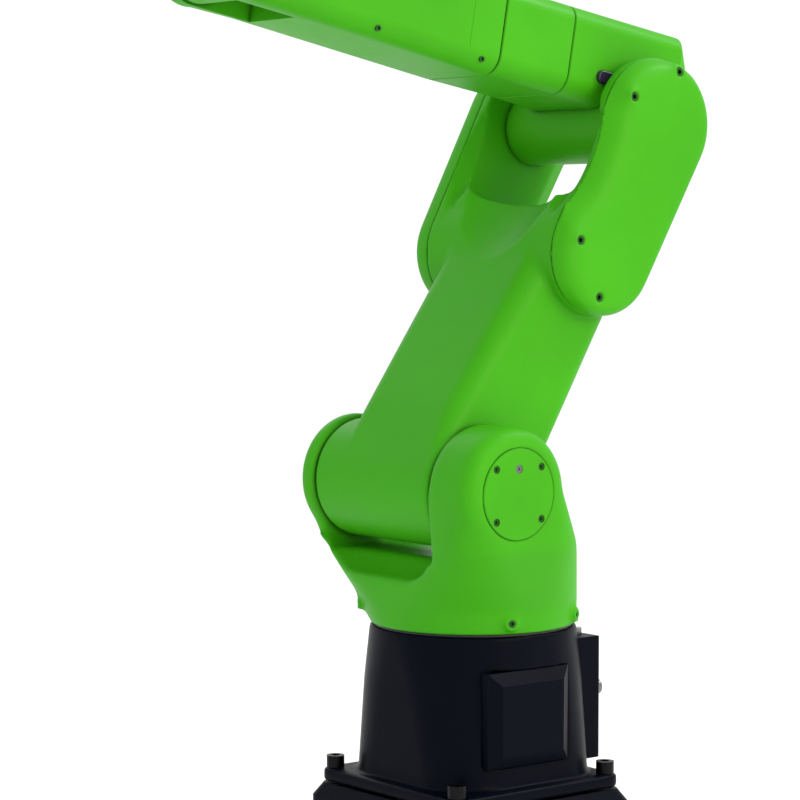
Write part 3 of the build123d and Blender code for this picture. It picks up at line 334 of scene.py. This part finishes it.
IRON_METALLIC = 0.85
IRON_WEAR = 0.5
IRON_WORN_GAIN = 1.5
IRON_STAIN = 40.0
IRON_STAIN_GAINS = (0.78, 1.12)
IRON_GRAIN = 700.0
GRAIN_ROUGH = 0.08
GRAIN_STRENGTH = 0.30
GRAIN_DEPTH = 0.0002
IRON_PITS = 90.0
PIT_STRENGTH = 0.15
PIT_DEPTH = 0.0004


def cast(name, rgb, roughness):
    """Rough cast or ground iron, grainy and dull."""
    g = Graph(name)
    dark, pale = IRON_STAIN_GAINS
    grain = g.noise(IRON_GRAIN)
    stain = g.span(g.noise(IRON_STAIN, detail=4.0), 0.0, 1.0)
    body = g.blend(stain, scaled(rgb, dark), scaled(rgb, pale))
    edge = g.math("MULTIPLY", g.edges(METAL_EDGE), IRON_WEAR)
    g.color(g.blend(edge, body, scaled(rgb, IRON_WORN_GAIN)))
    g.rough(g.span(grain, roughness - GRAIN_ROUGH, roughness + GRAIN_ROUGH))
    g.bump([(grain, GRAIN_STRENGTH, GRAIN_DEPTH),
            (g.noise(IRON_PITS, detail=2.0), PIT_STRENGTH, PIT_DEPTH)])
    g.shine(metallic=IRON_METALLIC)
    return g.material


MOULDED_SPECULAR = 0.4
MOULDED_EDGE = 0.0010
MOULDED_WEAR_GREY = 0.035
HANDLING = 60.0
HANDLING_GAINS = (0.85, 1.18)
GREASE = 25.0
GREASE_ROUGH = 0.06
MOULD_STRENGTH = 0.22
MOULD_DEPTH = 0.00015


def moulded(name, rgb, roughness, grain, soft):
    """Moulded plastic or rubber: fine even grain, paler where it is handled at the edges."""
    g = Graph(name)
    dark, pale = HANDLING_GAINS
    patch = g.span(g.noise(HANDLING, detail=4.0), 0.0, 1.0)
    body = g.blend(patch, scaled(rgb, dark), scaled(rgb, pale))
    worn = tuple(c + MOULDED_WEAR_GREY for c in rgb)
    g.color(g.blend(g.math("MULTIPLY", g.edges(MOULDED_EDGE), soft), body, worn))
    g.rough(g.span(g.noise(GREASE, detail=4.0), roughness - GREASE_ROUGH, roughness + GREASE_ROUGH))
    g.bump([(g.noise(grain, detail=2.0), MOULD_STRENGTH, MOULD_DEPTH)])
    g.shine(specular=MOULDED_SPECULAR)
    return g.material


def finishes():
    """The material of each of the record's slots, kept by slot, because Blender may number its name."""
    how = {
        "arm_paint": (paint, dict(
            rgb=ARM_GREEN, roughness=0.46, patches=7.0, wear=0.30, peel=0.16, gloss=0.12)),
        "base_paint": (paint, dict(
            rgb=BASE_BLACK, roughness=0.36, patches=9.0, wear=0.30, peel=0.30, gloss=0.035,
            wear_grey=0.01)),
        "green_screws": (paint, dict(
            rgb=SCREW_GREEN, roughness=0.40, patches=60.0, wear=0.30, peel=0.10, gloss=0.25,
            wear_grey=0.01)),
        "black_bolts": (metal, dict(
            rgb=BOLT_BLACK, roughness=0.42, stretch=(1.0, 1.0, 0.2), scratches=0.20)),
        "bright_steel": (metal, dict(
            rgb=STEEL, roughness=0.30, stretch=(1.0, 1.0, 0.08), scratches=0.25)),
        "gear_units": (cast, dict(rgb=GEAR_GREY, roughness=0.50)),
        "motor_black": (paint, dict(
            rgb=MOTOR_BLACK, roughness=0.48, patches=20.0, wear=0.30, peel=0.22)),
        "connector_black": (moulded, dict(
            rgb=CONNECTOR_BLACK, roughness=0.52, grain=900.0, soft=0.5)),
        "pulley_metal": (metal, dict(
            rgb=PULLEY_GREY, roughness=0.36, stretch=(1.0, 0.1, 1.0), scratches=0.2)),
        "belt_rubber": (moulded, dict(rgb=BELT_BLACK, roughness=0.66, grain=600.0, soft=0.4)),
        "seal_rubber": (moulded, dict(rgb=SEAL_VIOLET, roughness=0.34, grain=700.0, soft=0.6)),
    }
    return {slot: make(slot, **values) for slot, (make, values) in how.items()}


def dress(materials):
    """Give every CAD node the finish of its slot."""
    for part in record["subparts"]:
        data = nodes[part["node"]].data
        data.materials.clear()
        data.materials.append(materials[part["material_slot"]])


# ---------------------------------------------------------------- soft castings
def slot_of(node):
    return next(p["material_slot"] for p in record["subparts"] if p["node"] == node)


def body_of(node):
    return next(b for b, members in record["behaviour"]["bodies"].items() if node in members)


def pivot_of(body):
    """Where the joint that carries this body stands."""
    return np.array(next(j for j in record["behaviour"]["joints"] if j["child"] == body)["pos_m"])


EVEN_ROUNDS = 5  # over the whole mesh, to take off the remesh's steps
PULL = 0.5
FIT_NEAR = 0.0025  # a casting stays as it is this near a fitting
FIT_FAR = 0.009  # and is smoothed in full from here on
ARM_RUN = pivot_of("elbow") - pivot_of("upper_arm")
ARM_LINE = ARM_RUN / np.linalg.norm(ARM_RUN)
ARM_FRONT = np.array((ARM_LINE[2], 0.0, -ARM_LINE[0]))  # square to the leaning upper arm
FRONT_BACK = 0.010  # the front's extra rounds fade in from this far behind the middle
FRONT_RUN = 0.045  # and reach their full share after this distance
CASTINGS = {
    "turret_casting": dict(voxel=0.0018, rounds=40, fittings=[
        "j2_end_cover", "shoulder_cover_screws", "j2_grease_plug", "far_pivot_cap",
        "turret_lug_screws", "j1_seal"]),
    "upper_arm_casting": dict(voxel=0.0016, rounds=6, fittings=[
        "elbow_belt_cover", "elbow_far_cover"]),
    "elbow_belt_cover": dict(voxel=0.0016, rounds=30, front_rounds=260, fittings=[
        "upper_arm_casting", "elbow_cover_screws"]),
    "elbow_far_cover": dict(voxel=0.0016, rounds=30, fittings=[
        "upper_arm_casting", "elbow_cover_screws"]),
    "base_casting": dict(voxel=0.0018, rounds=12, fittings=[
        "base_side_panel", "connector_box", "foot_bolts", "j1_seal", "mounting_plate"]),
}


def remeshed(node, voxel):
    """An even mesh of the CAD node's shape, for smoothing."""
    raw = link(bpy.data.objects.new(node + "_raw", nodes[node].data.copy()))
    remesh = raw.modifiers.new("remesh", "REMESH")
    remesh.mode = "VOXEL"
    remesh.voxel_size = voxel
    graph = bpy.context.evaluated_depsgraph_get()
    mesh = bpy.data.meshes.new_from_object(raw.evaluated_get(graph))
    bpy.data.objects.remove(raw)
    mesh.name = node + "_soft"
    return mesh


def read(items, key, width, kind=float):
    """The items' property as an array with width columns."""
    values = np.empty(len(items) * width, dtype=kind)
    items.foreach_get(key, values)
    return values.reshape(-1, width)


def laplacian(points, ends, rounds, pull):
    """points moved towards the mean of their neighbours, pull being each point's share of the move."""
    first, second = ends[:, 0], ends[:, 1]
    count = len(points)
    degree = np.bincount(first, minlength=count) + np.bincount(second, minlength=count)
    degree = np.maximum(degree, 1)
    for _ in range(rounds):
        for axis in range(3):
            value = points[:, axis]
            total = np.bincount(first, value[second], count) + np.bincount(second, value[first], count)
            points[:, axis] = value + pull * (total / degree - value)
    return points


def smoothstep(share):
    return share * share * (3.0 - 2.0 * share)


def nearness(points, fittings):
    """0 near the fittings' surfaces, 1 well away from them, and a smooth step between."""
    trees = []
    for name in fittings:
        data = nodes[name].data
        corners = [v.co for v in data.vertices]
        trees.append(BVHTree.FromPolygons(corners, [p.vertices for p in data.polygons]))
    share = np.ones(len(points))
    for i, point in enumerate(points):
        where = Vector(point)
        near = FIT_FAR
        for tree in trees:
            distance = tree.find_nearest(where, near)[3]
            if distance is not None:
                near = distance
        share[i] = min(1.0, max(0.0, (near - FIT_NEAR) / (FIT_FAR - FIT_NEAR)))
    return smoothstep(share)


def frontness(points):
    """0 behind the middle of the points and 1 at their front, as the upper arm leans."""
    middle = (points.min(0) + points.max(0)) / 2
    return smoothstep(np.clip(((points - middle) @ ARM_FRONT + FRONT_BACK) / FRONT_RUN, 0.0, 1.0))


def soften(node, body, material, voxel, rounds, fittings, front_rounds=0):
    """A casting with blended edges, crisp where its fittings meet it. It stands for the CAD node."""
    mesh = remeshed(node, voxel)
    ends = read(mesh.edges, "vertices", 2, np.int32)
    points = laplacian(read(mesh.vertices, "co", 3), ends, EVEN_ROUNDS, PULL)
    share = nearness(points, fittings)
    points = laplacian(points, ends, rounds, PULL * share)
    if front_rounds:
        points = laplacian(points, ends, front_rounds, PULL * share * frontness(points))
    low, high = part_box(node)
    points = np.clip(points, np.array(low), np.array(high))
    mesh.vertices.foreach_set("co", points.ravel())
    mesh.shade_smooth()
    mesh.materials.clear()
    mesh.materials.append(material)
    piece = link(bpy.data.objects.new(node + "_soft", mesh))
    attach(piece, body)
    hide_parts(node)


# ---------------------------------------------------------------- studio
SKY = 1.07
WHITE = (1.0, 1.0, 1.0)
WARM = (1.0, 0.80, 0.48)
# Name, azimuth and elevation in degrees, distance and size in metres, power in watts, colour.
LIGHTS = [
    ("key", 98, 18, 3.0, 1.6, 44, WARM),
    ("top", 150, 44, 2.8, 0.6, 30, WHITE),
    ("rim", 250, 35, 3.0, 1.8, 10, WHITE),
]
FLOOR_HALF = 14.0
FLOOR_DROP = 0.0005
FLOOR_DARK = (0.92, 0.92, 0.92)
FLOOR_PALE = (0.95, 0.95, 0.95)
FLOOR_TONES = 3.0
FLOOR_SHEEN = 40.0
FLOOR_ROUGH = (0.55, 0.68)
FLOOR_GRAIN = 300.0
FLOOR_GRAIN_STRENGTH = 0.05
FLOOR_GRAIN_DEPTH = 0.0002


def world():
    scene = bpy.context.scene
    scene.view_settings.view_transform = "Standard"
    scene.world = bpy.data.worlds.new("world")
    scene.world.use_nodes = True
    background = scene.world.node_tree.nodes["Background"]
    background.inputs["Color"].default_value = (*WHITE, 1.0)
    background.inputs["Strength"].default_value = SKY


def floor():
    mesh = bpy.data.meshes.new("floor")
    r = FLOOR_HALF
    mesh.from_pydata([(-r, -r, 0), (r, -r, 0), (r, r, 0), (-r, r, 0)], [], [(0, 1, 2, 3)])
    obj = link(bpy.data.objects.new("floor", mesh))
    obj.location.z = cad_box[0][2] - FLOOR_DROP
    g = Graph("floor")
    g.color(g.blend(g.span(g.noise(FLOOR_TONES), 0.0, 1.0), FLOOR_DARK, FLOOR_PALE))
    g.rough(g.span(g.noise(FLOOR_SHEEN), *FLOOR_ROUGH))
    g.bump([(g.noise(FLOOR_GRAIN, detail=2.0), FLOOR_GRAIN_STRENGTH, FLOOR_GRAIN_DEPTH)])
    mesh.materials.append(g.material)


def area_light(name, azimuth, elevation, distance, size, power, color):
    data = bpy.data.lights.new(name, "AREA")
    data.shape = "DISK"
    data.size = size
    data.energy = power
    data.color = color
    place(link(bpy.data.objects.new(name, data)), azimuth, elevation, distance)


add_camera()
world()
floor()
for light in LIGHTS:
    area_light(*light)
looks = finishes()
dress(looks)
for casting, how in CASTINGS.items():
    soften(casting, body_of(casting), looks[slot_of(casting)], **how)
